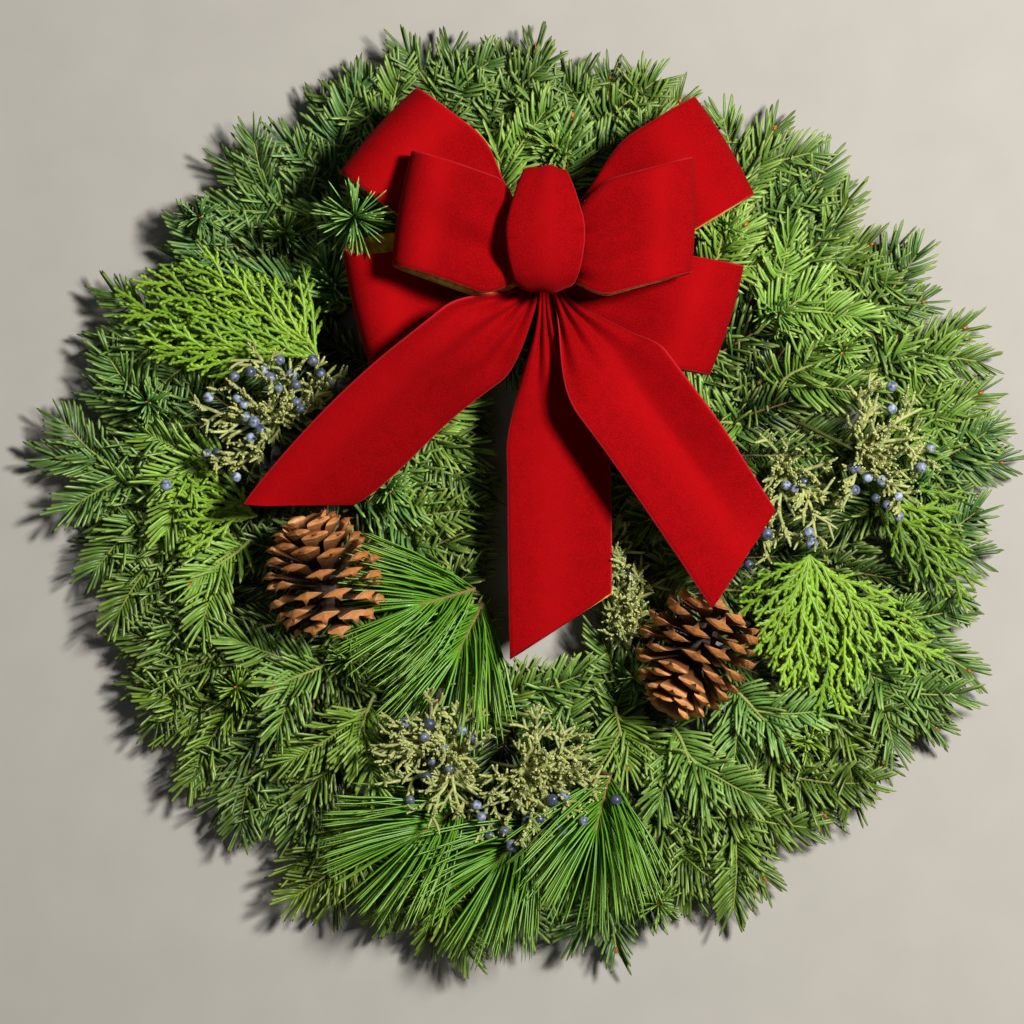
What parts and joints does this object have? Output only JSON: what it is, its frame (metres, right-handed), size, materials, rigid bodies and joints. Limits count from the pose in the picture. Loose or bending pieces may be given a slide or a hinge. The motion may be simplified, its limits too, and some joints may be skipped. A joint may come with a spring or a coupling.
{
  "type": "evergreen wreath",
  "caption": "Round fresh evergreen wreath on a wire ring, with mixed fir, cedar, juniper and pine, pine cones, and a red velvet bow with long tails.",
  "frame": {"origin": "on the surface that the wreath lies on, under the middle of its bounding box", "axes": "+Z out of the wreath's front, away from the surface; +Y towards its top as it hangs; +X to the right as seen from the front"},
  "size_m": [0.62, 0.588, 0.1376],
  "materials": {
    "wire": "dark green enamelled steel wire",
    "pick_wire": "plain drawn florist's wire",
    "tie_wire": "dark green enamelled steel wire",
    "fir": "fresh waxy needles on green twigs",
    "cedar": "fresh flat sprays of scale leaves",
    "juniper": "fresh scale leaves with bloomed blue berries",
    "pine": "fresh long glossy needles",
    "cone": "dry matt scales",
    "velvet": "short-pile velvet outside, gold satin back"
  },
  "bodies": {
    "root": {"bow_centre_loop": "velvet", "bow_loop_back_left": "velvet", "bow_loop_back_right": "velvet", "bow_loop_front_left": "velvet", "bow_loop_front_right": "velvet", "bow_loop_lower_left": "velvet", "bow_loop_lower_right": "velvet", "bow_tail_left": "velvet", "bow_tail_middle": "velvet", "bow_tail_right": "velvet", "bow_tie_wire": "tie_wire", "cedar_fan_far_right": "cedar", "cedar_fan_left": "cedar", "cedar_fan_right": "cedar", "cedar_fan_upper_left": "cedar", "fir_bunch_01": "fir", "fir_bunch_02": "fir", "fir_bunch_03": "fir", "fir_bunch_04": "fir", "fir_bunch_05": "fir", "fir_bunch_06": "fir", "fir_bunch_07": "fir", "fir_bunch_08": "fir", "fir_bunch_09": "fir", "fir_bunch_10": "fir", "fir_bunch_11": "fir", "fir_bunch_12": "fir", "fir_bunch_13": "fir", "fir_bunch_14": "fir", "fir_bunch_15": "fir", "fir_bunch_16": "fir", "fir_bunch_17": "fir", "fir_bunch_18": "fir", "juniper_sprig_bottom": "juniper", "juniper_sprig_bottom_left": "juniper", "juniper_sprig_inner_right": "juniper", "juniper_sprig_left": "juniper", "juniper_sprig_middle": "juniper", "juniper_sprig_right": "juniper", "pine_cone_left": "cone", "pine_cone_left_wire": "pick_wire", "pine_cone_right": "cone", "pine_cone_right_wire": "pick_wire", "pine_tuft_bottom": "pine", "pine_tuft_centre": "pine", "pine_tuft_inner": "pine", "pine_tuft_lower_left": "pine", "pine_tuft_lower_right": "pine", "wire_ring": "wire"}
  },
  "joints": []
}
